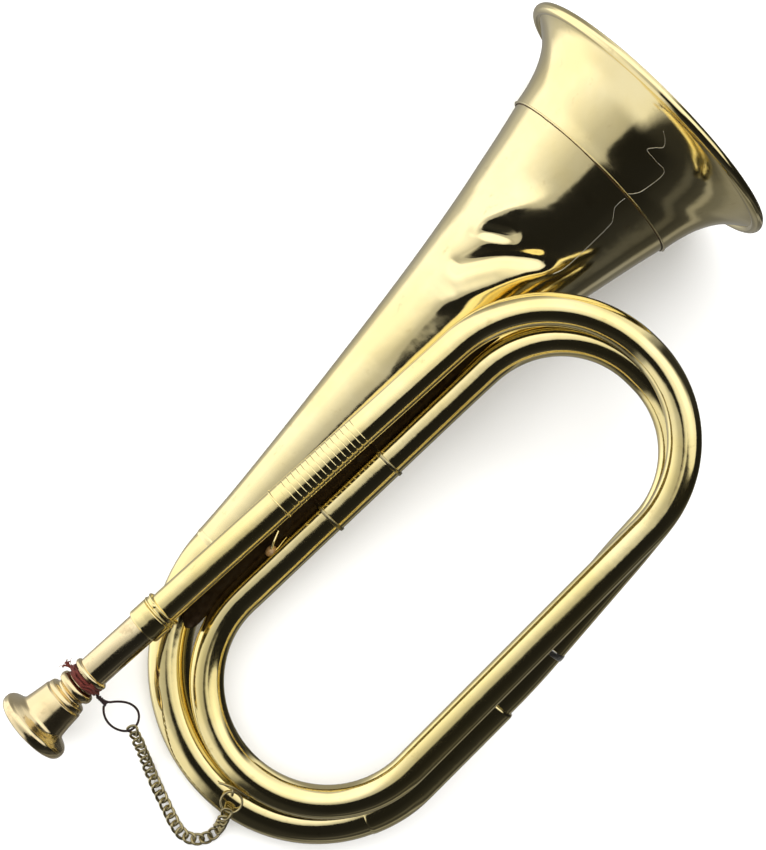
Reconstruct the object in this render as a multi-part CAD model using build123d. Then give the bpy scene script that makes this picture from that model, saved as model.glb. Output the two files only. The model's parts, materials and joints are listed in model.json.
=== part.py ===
"""A two-turn brass bugle lying on its side, its mouthpiece tied on by a twine loop and a chain.

The bugle is laid out with the bell mouth's centre at the origin, the bell's axis along +X, the coil
toward -Y and the mouthpiece's side of the coil uppermost.  place() then turns every piece to the
way the bugle lies on a table, and moves it so that the base of the whole box is centred on the origin.
The twine and the chain are laid out in the frame of the table itself.  All lengths are millimetres.
"""
import math
import os
from build123d import *

os.makedirs("parts", exist_ok=True)

# ---------------------------------------------------------------- how it lies on the table
REST_PITCH = 10.5             # degrees the bell's axis climbs toward its mouth
REST_ROLL = -4.2              # degrees it rolls about the bell's axis
SEAT = (139.6, 29.4, 52.3)    # the bell mouth's centre, seen from the base of the box

# ---------------------------------------------------------------- the windway's centreline
# Corners of the runs, each rounded by the radius beside it.
MOUTH_END = (-286.8, 1.3, 18.2)
FIRST_RIGHT_TOP = (-58.5, -10.5, 32.2)
FIRST_RIGHT_LOW = (-58.5, -94.4, 31.4)
FIRST_LEFT_LOW = (-249.0, -97.0, 10.9)
FIRST_LEFT_TOP = (-249.3, -16.3, 8.6)
SECOND_RIGHT_TOP = (-63.2, -21.1, 23.1)
SECOND_RIGHT_LOW = (-62.8, -93.0, 16.6)
OUTER_RUN_BEND = (-161.5, -101.5, 6.7)
BELL_BOW_LOW = (-260.1, -102.8, -2.7)
BELL_BOW_TOP = (-259.7, 0.0, 0.0)
TAIL_END = (-204.0, 0.0, 0.0)
CORNERS = [
    (FIRST_RIGHT_TOP, 44.2),
    (FIRST_RIGHT_LOW, 41.3),
    (FIRST_LEFT_LOW, 39.6),
    (FIRST_LEFT_TOP, 39.6),
    (SECOND_RIGHT_TOP, 36.8),
    (SECOND_RIGHT_LOW, 36.8),
    (OUTER_RUN_BEND, 260.0),
    (BELL_BOW_LOW, 46.2),
    (BELL_BOW_TOP, 55.6),
]

# ---------------------------------------------------------------- tubes: outer radii, thin walls
WALL = 0.5
LEADPIPE_R = 5.45
FIRST_TURN_R = 5.6
FIRST_BOW_R = 5.8
MIDDLE_R = 6.15
SECOND_TURN_R = 6.4
OUTER_R = 6.85
BELL_BOW_R = 7.4
SOLDER = 0.02                 # gap left round a tube inside its sleeve
SLEEVE_R = 7.85
MIDDLE_SLEEVE_R = 6.45
FERRULE_RING_R = 6.85
RING_WIDTH = 1.3
LEAD_RING_R = 5.75
LEAD_RING_AT = 109.2          # from the mouthpiece's rim, along the leadpipe
LEAD_RING_WIDTH = 0.8
OUTER_RING_R = 7.2
OUTER_RING_WIDTH = 2.2
TAIL_RING_R = 8.3
TAIL_RING_START = -207.6
TAIL_RING_PLAY = 0.16         # the bow still curves a little inside the ring

# ---------------------------------------------------------------- bell
MOUTH_RING_R = 51.1           # middle of the rolled bead
BEAD_R = 2.1
BEAD_X = 0.1
REST_FACE_X = 1.75            # the bead is worn flat here
TAIL_R = 8.7
BODY_MID = (-108.0, 19.9)
SEAM = (-27.0, 34.6)
SEAM_STEP = 0.3
FLARE_MID = (-17.5, 37.0)
FLARE_TURN = (-8.6, 40.4)
FLARE_EDGE = (-1.0, 49.4)

# ---------------------------------------------------------------- mouthpiece, along its own axis
RIM_R = 13.4
CUP_MOUTH_R = 8.4
SHANK_R = 4.7
SHANK_END = 49.0
BACKBORE_R = 3.6
THROAT_R = 2.0
THROAT_AT = 10.5
FIT = 0.05                    # running clearance of the shank in its socket
RECEIVER_START = 24.9
RECEIVER_END = 51.5
RECEIVER_R = 5.6
LIP_R = 6.5
LIP_END = 26.6
COLLAR_START = 48.9
COLLAR_END = 55.7
COLLAR_R = 6.55
BAND_END = 58.4
BAND_R = 6.3
BAND_EDGE_R = 6.7
BAND_EDGE = 0.6
WRAP_START = 21.1
WRAP_END = 24.5
WRAP_R = 6.2
SOCKET_R = SHANK_R + FIT

# ---------------------------------------------------------------- stays, solder and a broken wire
STAY_TOP = (-230.2, -1.7, 21.7)
STAY_FOOT = (-230.2, -6.3, 0.0)
BELL_SOLDER_TOP = (-122.5, -7.5, 28.2)
BELL_SOLDER_FOOT = (-122.5, 0.0, 0.0)
LOWER_SOLDER_TOP = (-125.0, -95.3, 24.3)
LOWER_SOLDER_FOOT = (-125.0, -98.4, 10.2)
BLOB = (-191.0, -13.2, 17.4)
BLOB_SIZE = (2.1, 1.6, 1.3)
WIRE_FOOT = (-190.4, -12.9, 18.4)
WIRE_BEND = (-188.0, -11.6, 18.6)
WIRE_TIP = (-184.6, -10.2, 17.9)
WIRE_R = 0.4

# ---------------------------------------------------------------- the twine, in the frame of the table
TWINE_R = 0.4
TWINE_BEND = 1.1
KNOT = (-124.2, 17.1, 20.9)
KNOT_R = 0.95
TWINE_ROUTE = [
    (-124.3, 21.0, 22.7),
    (-124.2, 17.1, 20.9),
    (-120.7, 14.4, 20.0),
    (-118.2, 10.8, 18.8),
    (-118.1, 6.9, 17.4),
    (-120.7, 4.2, 15.8),
    (-123.9, 3.7, 14.4),
    (-126.4, 5.4, 14.2),
    (-128.0, 9.0, 15.4),
    (-127.9, 12.6, 17.4),
    (-126.4, 15.6, 19.4),
    (-125.1, 16.6, 20.3),
]

# ---------------------------------------------------------------- the chain, in the frame of the table
EYE = (-115.0, -34.2, 17.3)
EYE_AXIS = (-0.664, 0.747, 0.0)
EYE_R = 1.4
EYE_WIRE_R = 0.4
EYE_WIRE_ROUTE = [(-254.9, -66.4, 8.6), (-255.7, -60.8, 10.4), (-258.4, -55.6, 9.4)]   # from the bell
RING = (-117.7, -36.6, 16.8)
RING_AXIS = (-0.104, -0.092, 1.0)
RING_R = 3.6
RING_WIRE_R = 0.4
LINK_HALF_LENGTH = 1.95       # to the middle of the wire
LINK_HALF_WIDTH = 1.45
LINK_WIRE_R = 0.38
END_LINK_OFFSET = 0.75        # from the first link's middle to the ring's wire
LAST_LINK_OFFSET = 0.3        # from the last link's middle to the twine
LINK_COUNT = 26
CHAIN_ROUTE = [
    (-121.05, -37.9, 16.4),
    (-123.6, -39.0, 14.4),
    (-125.3, -40.1, 11.0),
    (-126.0, -40.9, 7.0),
    (-127.0, -41.5, 3.4),
    (-129.6, -41.8, 1.6),
    (-132.6, -40.7, 1.5),
    (-135.2, -38.2, 1.5),
    (-136.5, -34.6, 1.5),
    (-136.0, -30.4, 1.5),
    (-134.6, -26.0, 1.5),
    (-132.6, -20.2, 1.5),
    (-130.6, -14.6, 2.2),
    (-129.0, -10.4, 4.2),
    (-127.3, -6.0, 7.4),
    (-125.5, -1.0, 11.2),
    (-123.9, 3.7, 14.4),
]

windway = FilletPolyline(
    [MOUTH_END] + [corner for corner, _ in CORNERS] + [TAIL_END],
    radius=[radius for _, radius in CORNERS],
)
WINDWAY_LENGTH = windway.length
chain_line = Spline(CHAIN_ROUTE)
LINK_PITCH = (chain_line.length - END_LINK_OFFSET - LAST_LINK_OFFSET) / (LINK_COUNT - 1)


def place(frame_piece):
    """The piece turned and moved to where it lies on the table."""
    laid = Location((0, 0, 0), (REST_ROLL, 0, 0)) * Location((0, 0, 0), (0, -REST_PITCH, 0))
    return Location(SEAT) * laid * frame_piece


def save(name, piece):
    """Write one piece, where it lies, to its own file."""
    export_step(place(piece), f"parts/{name}.step")


def station(start, end, x):
    """Distance along the windway to the place on a straight run, from start to end, where X is x."""
    a = Vector(*start)
    b = Vector(*end)
    return windway.param_at_point(a + (b - a) * ((x - a.X) / (b.X - a.X))) * WINDWAY_LENGTH


def tube(start, end, outer, wall=WALL):
    """A tube that follows the windway from one distance to another."""
    path = windway.trim(start / WINDWAY_LENGTH, end / WINDWAY_LENGTH)
    section = Plane(origin=path @ 0, z_dir=path % 0) * (Circle(outer) - Circle(outer - wall))
    return sweep(section, path=path)


def sleeve(start, end, outer, inner):
    """A ring or sleeve round a tube of the given outer radius."""
    return tube(start, end, outer, outer - inner - SOLDER)


def turned(outline):
    """A solid turned from a closed outline in the XZ plane about the X axis."""
    return revolve(Plane.XZ * make_face(outline), Axis.X)


def shell(*arcs):
    """A thin sheet turned about the X axis from the line down the middle of its wall."""
    return revolve(Plane.XZ * trace(arcs, line_width=WALL), Axis.X)


LEAD_DIRECTION = (Vector(*FIRST_RIGHT_TOP) - Vector(*MOUTH_END)).normalized()
LEAD_PLANE = Plane(
    origin=MOUTH_END,
    x_dir=LEAD_DIRECTION,
    z_dir=LEAD_DIRECTION.cross(Vector(0, 1, 0)),
)


def on_leadpipe(piece):
    """A piece drawn along X, from the rim of the mouthpiece, put on the leadpipe's axis."""
    return LEAD_PLANE.location * piece


def band(start, end, outer, inner):
    """A plain ring about the X axis."""
    ring = Plane.YZ.offset(start) * (Circle(outer) - Circle(inner))
    return extrude(ring, end - start)


# ================================================================ the bell
def bell_body():
    """The long cone of the bell, from the bow to the seam."""
    return shell(ThreePointArc((TAIL_END[0], TAIL_R), BODY_MID, SEAM))


def rim_bead():
    """The rolled bead round the mouth, worn flat at the front."""
    ring = Location((BEAD_X, 0, 0), (0, 90, 0)) * Torus(MOUTH_RING_R, BEAD_R)
    worn_off = Pos(REST_FACE_X, 0, 0) * extrude(Plane.YZ * Circle(MOUTH_RING_R + 2 * BEAD_R), BEAD_R)
    return ring - worn_off


def bell_flare():
    """The short flare soldered on in front of the seam, spread out to meet the bead."""
    start = (SEAM[0] + SOLDER, SEAM[1] + SEAM_STEP)
    throat = ThreePointArc(start, FLARE_MID, FLARE_TURN)
    lip = TangentArc(FLARE_TURN, FLARE_EDGE, tangent=throat % 1)
    return shell(throat, lip) - Location((BEAD_X, 0, 0), (0, 90, 0)) * Torus(MOUTH_RING_R, BEAD_R)


# ================================================================ the mouthpiece and its socket
def mouthpiece():
    """Turned cup mouthpiece: rim, cup, throat and backbore, shoulder rings, bead and shank."""
    outline = [
        Line((SHANK_END, BACKBORE_R), (SHANK_END, SHANK_R)),
        Line((SHANK_END, SHANK_R), (20.8, SHANK_R)),
        Line((20.8, SHANK_R), (20.8, 5.3)),
        ThreePointArc((20.8, 5.3), (19.2, 6.6), (17.6, 5.3)),
        ThreePointArc((17.6, 5.3), (16.5, 5.15), (15.8, 5.8)),
        Line((15.8, 5.8), (15.6, 7.0)),
        Line((15.6, 7.0), (14.2, 7.35)),
        Line((14.2, 7.35), (13.8, 7.05)),
        Line((13.8, 7.05), (13.3, 7.7)),
        Line((13.3, 7.7), (4.6, 8.8)),
        ThreePointArc((4.6, 8.8), (3.1, 10.0), (2.3, 11.9)),
        ThreePointArc((2.3, 11.9), (1.3, 13.05), (-0.3, RIM_R)),
        ThreePointArc((-0.3, RIM_R), (-1.9, 12.6), (-2.4, 10.9)),
        Line((-2.4, 10.9), (-2.4, 9.6)),
        ThreePointArc((-2.4, 9.6), (-2.1, 8.75), (-1.3, CUP_MOUTH_R)),
        ThreePointArc((-1.3, CUP_MOUTH_R), (6.0, 6.3), (THROAT_AT, THROAT_R)),
        Line((THROAT_AT, THROAT_R), (THROAT_AT + 3, THROAT_R)),
        Line((THROAT_AT + 3, THROAT_R), (SHANK_END, BACKBORE_R)),
    ]
    return on_leadpipe(turned(outline))


def receiver_tube():
    """The socket that the shank slides in."""
    return on_leadpipe(band(RECEIVER_START, RECEIVER_END, RECEIVER_R, SOCKET_R))


def receiver_lip():
    """The rounded ring at the open end of the socket."""
    ring = band(RECEIVER_START, LIP_END, LIP_R, RECEIVER_R + SOLDER)
    return on_leadpipe(fillet(ring.edges().filter_by(GeomType.CIRCLE).sort_by(SortBy.RADIUS)[-2:], 0.7))


def receiver_collar():
    """The stepped sleeve that joins the socket to the leadpipe."""
    return on_leadpipe(band(COLLAR_START, COLLAR_END - SOLDER, COLLAR_R, RECEIVER_R + SOLDER))


def receiver_band():
    """The flat band behind the collar, with a raised edge each side."""
    flat = band(COLLAR_END, BAND_END, BAND_R, LEADPIPE_R + SOLDER)
    near = band(COLLAR_END, COLLAR_END + BAND_EDGE, BAND_EDGE_R, LEADPIPE_R + SOLDER)
    far = band(BAND_END - BAND_EDGE, BAND_END, BAND_EDGE_R, LEADPIPE_R + SOLDER)
    return on_leadpipe(flat + near + far)


LEAD_END = station(MOUTH_END, FIRST_RIGHT_TOP, -100.6)
FIRST_RUN_START = station(FIRST_RIGHT_LOW, FIRST_LEFT_LOW, -101.0)
FIRST_RUN_END = station(FIRST_RIGHT_LOW, FIRST_LEFT_LOW, -208.0)
MIDDLE_START = station(FIRST_LEFT_TOP, SECOND_RIGHT_TOP, -207.0)
FERRULE_LEFT = station(FIRST_LEFT_TOP, SECOND_RIGHT_TOP, -169.3)
FERRULE_RIGHT = station(FIRST_LEFT_TOP, SECOND_RIGHT_TOP, -141.7)
MIDDLE_END = station(FIRST_LEFT_TOP, SECOND_RIGHT_TOP, -100.0)
OUTER_START = station(SECOND_RIGHT_LOW, OUTER_RUN_BEND, -98.0)
OUTER_RING = station(SECOND_RIGHT_LOW, OUTER_RUN_BEND, -148.0)
OUTER_SLEEVE_START = station(OUTER_RUN_BEND, BELL_BOW_LOW, -174.0)
OUTER_END = station(OUTER_RUN_BEND, BELL_BOW_LOW, -205.0)
OUTER_SLEEVE_END = OUTER_SLEEVE_START + 59.0
BOW_TOP_RUN = OUTER_SLEEVE_END + 60.0


def rod(start, end, outer):
    """The windway's outside as one full bar, for cutting a joint to fit round a tube."""
    path = windway.trim(start / WINDWAY_LENGTH, end / WINDWAY_LENGTH)
    return sweep(Plane(origin=path @ 0, z_dir=path % 0) * Circle(outer), path=path)


# ================================================================ the coil, from the socket to the bell
def outer_sleeve():
    """The long sleeve over the joint of the outer run and the bell's bow, opened out for the bow."""
    narrow = sleeve(OUTER_SLEEVE_START, OUTER_END, SLEEVE_R, OUTER_R)
    wide = sleeve(OUTER_END, OUTER_SLEEVE_END, SLEEVE_R, BELL_BOW_R)
    return narrow + wide


def middle_sleeve_rings():
    """The two raised rings at the ends of the sleeve on the middle run."""
    left = sleeve(FERRULE_LEFT, FERRULE_LEFT + RING_WIDTH, FERRULE_RING_R, MIDDLE_SLEEVE_R)
    right = sleeve(FERRULE_RIGHT - RING_WIDTH, FERRULE_RIGHT, FERRULE_RING_R, MIDDLE_SLEEVE_R)
    return Compound([left, right])


def bell_tail_ring():
    """The collar that covers the joint of the bow and the bell's narrow end."""
    bore = BELL_BOW_R + TAIL_RING_PLAY
    front = TAIL_END[0] - SOLDER
    outline = [
        Line((TAIL_RING_START, bore), (TAIL_RING_START, TAIL_RING_R)),
        Line((TAIL_RING_START, TAIL_RING_R), (front, TAIL_R)),
        Line((front, TAIL_R), (front, bore)),
        Line((front, bore), (TAIL_RING_START, bore)),
    ]
    return turned(outline)


# ================================================================ stays and solder
def plate(a, b, length, thickness):
    """A flat web from one run's axis to another's, given a point on each."""
    across = Vector(*b) - Vector(*a)
    middle = (Vector(*a) + Vector(*b)) / 2
    along = Vector(1, 0, 0) - across * (across.X / across.length**2)
    web = Plane(origin=middle, x_dir=along, z_dir=along.cross(across))
    return web * Box(length, across.length, thickness)


def leadpipe_stay():
    """The flat stay between the leadpipe's band and the top of the bell's bow."""
    web = plate(STAY_TOP, STAY_FOOT, 5.5, 1.4)
    lead = on_leadpipe(extrude(Plane.YZ.offset(COLLAR_START) * Circle(BAND_EDGE_R + SOLDER), 20))
    return web - lead - rod(BOW_TOP_RUN, WINDWAY_LENGTH - 1, BELL_BOW_R + SOLDER)


def bell_solder():
    """The run of solder between the leadpipe and the bell."""
    web = plate(BELL_SOLDER_TOP, BELL_SOLDER_FOOT, 27.0, 2.4)
    middle = (BODY_MID[0], BODY_MID[1] + WALL)
    outline = [
        Line((TAIL_END[0], TAIL_R + WALL), middle),
        Line(middle, (middle[0] + 20, middle[1])),
        Line((middle[0] + 20, middle[1]), (middle[0] + 20, 0)),
        Line((middle[0] + 20, 0), (TAIL_END[0], 0)),
        Line((TAIL_END[0], 0), (TAIL_END[0], TAIL_R + WALL)),
    ]
    return web - rod(RECEIVER_END, LEAD_END, LEADPIPE_R + SOLDER) - turned(outline)


def lower_solder():
    """The run of solder between the first lower run and the outer run."""
    web = plate(LOWER_SOLDER_TOP, LOWER_SOLDER_FOOT, 42.0, 2.0)
    above = rod(FIRST_RUN_START, FIRST_RUN_END, FIRST_TURN_R + SOLDER)
    return web - above - rod(OUTER_START, OUTER_RING + 10, OUTER_R + SOLDER)


def band_rivet():
    """The small rivet through the band, on its upper side."""
    pin = Pos(COLLAR_END + 1.35, 2.6, -5.2) * Sphere(0.95)
    return on_leadpipe(pin - extrude(Plane.YZ.offset(COLLAR_END) * Circle(BAND_R + SOLDER), 3))


def middle_bar():
    """A full bar as wide as the left half of the middle run."""
    return rod(MIDDLE_START, FERRULE_LEFT, MIDDLE_R + SOLDER)


def solder_blob():
    """A lump of old solder left on the middle run."""
    return Pos(BLOB) * scale(Sphere(1.0), by=BLOB_SIZE) - middle_bar()


def brace_wire():
    """The broken end of a brace wire that stands out of the lump of solder."""
    wire = FilletPolyline([WIRE_FOOT, WIRE_BEND, WIRE_TIP], radius=1.0)
    return sweep(Plane(origin=wire @ 0, z_dir=wire % 0) * Circle(WIRE_R), path=wire) - solder_blob()


# ================================================================ the tie on the mouthpiece
def twine_wrap():
    """The turns of twine round the shank, between the bead and the socket."""
    turns = band(WRAP_START, WRAP_END, WRAP_R, SOCKET_R)
    return on_leadpipe(fillet(turns.edges().filter_by(GeomType.CIRCLE).sort_by(SortBy.RADIUS)[-2:], 0.5))


def twine_loop(radius):
    """One strand of twine, from the turns through the knot, round the loop and back to the knot."""
    strand = FilletPolyline(TWINE_ROUTE, radius=TWINE_BEND)
    return sweep(Plane(origin=strand @ 0, z_dir=strand % 0) * Circle(radius), path=strand)


def twine_knot():
    """The knot that closes the loop of twine, tight round both ends of the strand."""
    return Pos(KNOT) * Sphere(KNOT_R) - twine_loop(TWINE_R + SOLDER)


# ================================================================ the chain
def chain_eye():
    """The small closed eye, soldered to the first left bow, that holds the chain's ring."""
    return Plane(origin=EYE, z_dir=EYE_AXIS) * Torus(EYE_R, EYE_WIRE_R)


def eye_wire():
    """The wire that holds the eye, laid along the side of the first left bow."""
    wire = FilletPolyline(EYE_WIRE_ROUTE, radius=2.0)
    return sweep(Plane(origin=wire @ 0, z_dir=wire % 0) * Circle(EYE_WIRE_R), path=wire)


def chain_ring():
    """The round ring between the eye and the first link."""
    return Plane(origin=RING, z_dir=RING_AXIS) * Torus(RING_R, RING_WIRE_R)


def link():
    """One link, lying along X in the XY plane."""
    half = LINK_HALF_LENGTH - LINK_HALF_WIDTH
    path = Wire([
        Line((-half, LINK_HALF_WIDTH), (half, LINK_HALF_WIDTH)).edge(),
        ThreePointArc((half, LINK_HALF_WIDTH), (LINK_HALF_LENGTH, 0), (half, -LINK_HALF_WIDTH)).edge(),
        Line((half, -LINK_HALF_WIDTH), (-half, -LINK_HALF_WIDTH)).edge(),
        ThreePointArc((-half, -LINK_HALF_WIDTH), (-LINK_HALF_LENGTH, 0), (-half, LINK_HALF_WIDTH)).edge(),
    ])
    return sweep(Plane(origin=path @ 0, z_dir=path % 0) * Circle(LINK_WIRE_R), path=path)


def links(first, last):
    """The links from one number up to another, each turned a quarter from its neighbour."""
    group = []
    for number in range(first, last):
        at = (END_LINK_OFFSET + number * LINK_PITCH) / chain_line.length
        along = chain_line % at
        side = along.cross(Vector(0, 0, 1)).normalized()
        leaning = side.rotate(Axis((0, 0, 0), along), -45 if number % 2 else 45)
        group.append(Plane(origin=chain_line @ at, x_dir=along, z_dir=leaning) * link())
    return Compound(group)


# ================================================================ every piece to its own file
save("leadpipe", tube(RECEIVER_END, LEAD_END, LEADPIPE_R))
save("leadpipe_ring", sleeve(LEAD_RING_AT, LEAD_RING_AT + LEAD_RING_WIDTH, LEAD_RING_R, LEADPIPE_R))
save("first_right_bow", tube(LEAD_END, FIRST_RUN_START, FIRST_TURN_R))
save("first_lower_run", tube(FIRST_RUN_START, FIRST_RUN_END, FIRST_TURN_R))
save("first_left_bow", tube(FIRST_RUN_END, MIDDLE_START, FIRST_BOW_R))
save("middle_run_left", tube(MIDDLE_START, (FERRULE_LEFT + FERRULE_RIGHT) / 2, MIDDLE_R))
save("middle_run_right", tube((FERRULE_LEFT + FERRULE_RIGHT) / 2, MIDDLE_END, MIDDLE_R))
save("middle_sleeve", sleeve(FERRULE_LEFT, FERRULE_RIGHT, MIDDLE_SLEEVE_R, MIDDLE_R))
save("middle_sleeve_rings", middle_sleeve_rings())
save("second_right_bow", tube(MIDDLE_END, OUTER_START, SECOND_TURN_R))
save("outer_run", tube(OUTER_START, OUTER_END, OUTER_R))
save("outer_run_ring", sleeve(OUTER_RING, OUTER_RING + OUTER_RING_WIDTH, OUTER_RING_R, OUTER_R))
save("outer_sleeve", outer_sleeve())
save("bell_bow", tube(OUTER_END, WINDWAY_LENGTH, BELL_BOW_R))
save("bell_tail_ring", bell_tail_ring())
save("bell_body", bell_body())
save("bell_flare", bell_flare())
save("bell_rim", rim_bead())
save("receiver_tube", receiver_tube())
save("receiver_lip", receiver_lip())
save("receiver_collar", receiver_collar())
save("receiver_band", receiver_band())
save("band_rivet", band_rivet())
save("leadpipe_stay", leadpipe_stay())
save("bell_solder", bell_solder())
save("lower_solder", lower_solder())
save("solder_blob", solder_blob())
save("brace_wire", brace_wire())
save("mouthpiece", mouthpiece())
save("twine_wrap", twine_wrap())
save("eye_wire", eye_wire())

DROP_END = 7
BEND_END = 12
RUN_END = 19
export_step(twine_knot(), "parts/twine_knot.step")
export_step(twine_loop(TWINE_R), "parts/twine_loop.step")
export_step(chain_eye(), "parts/chain_eye.step")
export_step(chain_ring(), "parts/chain_ring.step")
export_step(links(0, DROP_END), "parts/chain_drop.step")
export_step(links(DROP_END, BEND_END), "parts/chain_bend.step")
export_step(links(BEND_END, RUN_END), "parts/chain_run.step")
export_step(links(RUN_END, LINK_COUNT), "parts/chain_lift.step")
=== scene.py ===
"""Looks of the bugle: brass tubing and bell, turned mouthpiece, twine and curb chain, on a pale floor."""
import json
import math
import random

import bmesh
import bpy
from mathutils import Matrix, Vector, noise


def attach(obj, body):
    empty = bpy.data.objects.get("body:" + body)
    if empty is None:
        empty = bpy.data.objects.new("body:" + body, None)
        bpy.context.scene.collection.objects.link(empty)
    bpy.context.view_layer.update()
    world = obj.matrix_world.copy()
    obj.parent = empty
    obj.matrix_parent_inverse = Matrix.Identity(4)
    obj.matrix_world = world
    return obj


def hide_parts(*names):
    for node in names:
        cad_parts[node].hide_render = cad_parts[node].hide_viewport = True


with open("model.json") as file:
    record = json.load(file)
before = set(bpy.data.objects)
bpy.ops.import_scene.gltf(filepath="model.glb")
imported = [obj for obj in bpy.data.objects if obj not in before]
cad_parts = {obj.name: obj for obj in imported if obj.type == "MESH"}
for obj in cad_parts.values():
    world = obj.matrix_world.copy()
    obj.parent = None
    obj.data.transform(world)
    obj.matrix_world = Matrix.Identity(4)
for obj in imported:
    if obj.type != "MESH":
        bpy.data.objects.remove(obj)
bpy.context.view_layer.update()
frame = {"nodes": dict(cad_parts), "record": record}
rng = random.Random(7)
MM = 0.001

# ---------------------------------------------------------------- where the bell's own frame lies
mounts = {m["name"]: m for m in frame["record"]["mounts"]}
bell_x = Vector(mounts["bell_mouth"]["axis"]).normalized()
bell_z = Vector(mounts["hand_grip"]["axis"]).normalized()
bell_y = bell_z.cross(bell_x).normalized()
bell_z = bell_x.cross(bell_y).normalized()
LAY = Matrix.Translation(mounts["bell_mouth"]["pos_m"]) @ Matrix((
    (bell_x.x, bell_y.x, bell_z.x, 0),
    (bell_x.y, bell_y.y, bell_z.y, 0),
    (bell_x.z, bell_y.z, bell_z.z, 0),
    (0, 0, 0, 1),
)) @ Matrix.Scale(MM, 4)
TABLE_MM = Matrix.Scale(MM, 4)

# ---------------------------------------------------------------- camera
EYE = Vector((-135.6, -10.0, 760.0))      # in the bell's frame, millimetres
LENS = 106.0
camera_data = bpy.data.cameras.new("camera")
camera = bpy.data.objects.new("camera", camera_data)
bpy.context.collection.objects.link(camera)
bpy.context.scene.camera = camera
camera_data.sensor_fit = "HORIZONTAL"
camera_data.sensor_width = 36.0
camera_data.lens = LENS
half = math.sqrt(0.5)
turn = Matrix(((half, half, 0, 0), (-half, half, 0, 0), (0, 0, 1, 0), (0, 0, 0, 1)))
aim = (LAY.to_3x3().normalized() @ turn.to_3x3()).to_4x4()
camera.matrix_world = Matrix.Translation(LAY @ EYE) @ aim
camera_data.clip_start = 0.05
camera_data.clip_end = 20.0


# ================================================================ mesh helpers
def make_mesh(name, rows, closed_rows=True, closed_ends=False, to_table=LAY, uv=None):
    """A surface through rows of points; rows are rings when closed_rows, and join up when closed_ends."""
    wide = len(rows[0])
    verts = [to_table @ Vector(p) for row in rows for p in row]
    faces = []
    spans = []
    last = len(rows) if closed_ends else len(rows) - 1
    across = wide if closed_rows else wide - 1
    for i in range(last):
        for j in range(across):
            a, b = i * wide + j, i * wide + (j + 1) % wide
            c, d = ((i + 1) % len(rows)) * wide + (j + 1) % wide, ((i + 1) % len(rows)) * wide + j
            faces.append((a, b, c, d))
            spans.append((i, j))
    mesh = bpy.data.meshes.new(name)
    mesh.from_pydata(verts, [], faces)
    layer = mesh.uv_layers.new(name="along")
    for face, (i, j) in zip(mesh.polygons, spans):
        v0, v1 = (uv[i], uv[(i + 1) % len(rows)]) if uv else (i / len(rows), (i + 1) / len(rows))
        u0, u1 = j / wide, (j + 1) / wide
        for loop, value in zip(face.loop_indices, ((u0, v0), (u1, v0), (u1, v1), (u0, v1))):
            layer.data[loop].uv = value
    mesh.polygons.foreach_set("use_smooth", [True] * len(mesh.polygons))
    mesh.validate()
    piece = bpy.data.objects.new(name, mesh)
    bpy.context.collection.objects.link(piece)
    return piece


def recalc(piece):
    """Turns every face outward."""
    work = bmesh.new()
    work.from_mesh(piece.data)
    bmesh.ops.recalc_face_normals(work, faces=work.faces)
    work.to_mesh(piece.data)
    work.free()
    return piece


def finish_piece(piece, body, material, slot, *nodes):
    """Gives a piece its material, lets it ride on its body, and stand for its CAD nodes; the slot argument is
    not used.
    """
    piece.data.materials.clear()
    piece.data.materials.append(material)
    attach(piece, body)
    if nodes:
        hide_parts(*nodes)


def circle_points(centre, side, up, radius, count, start=0.0):
    """Points evenly round a circle, in the plane of two directions."""
    out = []
    for k in range(count):
        a = 2 * math.pi * k / count + start
        out.append(centre + (side * math.cos(a) + up * math.sin(a)) * radius)
    return out


def smooth_points(points, count):
    """Points spread along a Catmull-Rom curve through the given ones."""
    pts = [Vector(p) for p in points]
    pts = [2 * pts[0] - pts[1]] + pts + [2 * pts[-1] - pts[-2]]
    out = []
    spans = len(pts) - 3
    for k in range(count):
        t = k / (count - 1) * spans
        i = min(int(t), spans - 1)
        f = t - i
        a, b, c, d = pts[i:i + 4]
        out.append(0.5 * ((2 * b) + (c - a) * f + (2 * a - 5 * b + 4 * c - d) * f * f
                          + (3 * b - a - 3 * c + d) * f ** 3))
    return out


def sweep(name, line, radius, sides=16, closed=False, to_table=LAY):
    """A round wire along a list of points; radius is a number or one number for each point."""
    n = len(line)
    radii = radius if isinstance(radius, (list, tuple)) else [radius] * n
    rows = []
    tangents = []
    for i in range(n):
        before = line[(i - 1) % n] if closed or i else line[0]
        after = line[(i + 1) % n] if closed or i < n - 1 else line[-1]
        tangents.append((after - before).normalized())
    normal = tangents[0].orthogonal().normalized()
    normals = []
    for i in range(n):
        normal = (normal - tangents[i] * normal.dot(tangents[i])).normalized()
        normals.append(normal)
    slip = 0.0
    if closed:
        end = (normals[-1] - tangents[0] * normals[-1].dot(tangents[0])).normalized()
        slip = math.atan2(tangents[0].dot(end.cross(normals[0])), end.dot(normals[0]))
    lengths = [0.0]
    for i in range(1, n):
        lengths.append(lengths[-1] + (line[i] - line[i - 1]).length)
    for i in range(n):
        up = tangents[i].cross(normals[i])
        rows.append(circle_points(line[i], normals[i], up, radii[i], sides, slip * i / n))
    piece = make_mesh(name, rows, True, closed, to_table, None if closed else lengths)
    if not closed:
        cap_ends(piece, sides, n)
    return piece


def cap_ends(piece, sides, n):
    """Closes both ends of a swept wire."""
    work = bmesh.new()
    work.from_mesh(piece.data)
    work.verts.ensure_lookup_table()
    work.faces.new([work.verts[k] for k in range(sides)])
    work.faces.new([work.verts[(n - 1) * sides + k] for k in range(sides)][::-1])
    bmesh.ops.recalc_face_normals(work, faces=work.faces)
    work.to_mesh(piece.data)
    work.free()


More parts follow.
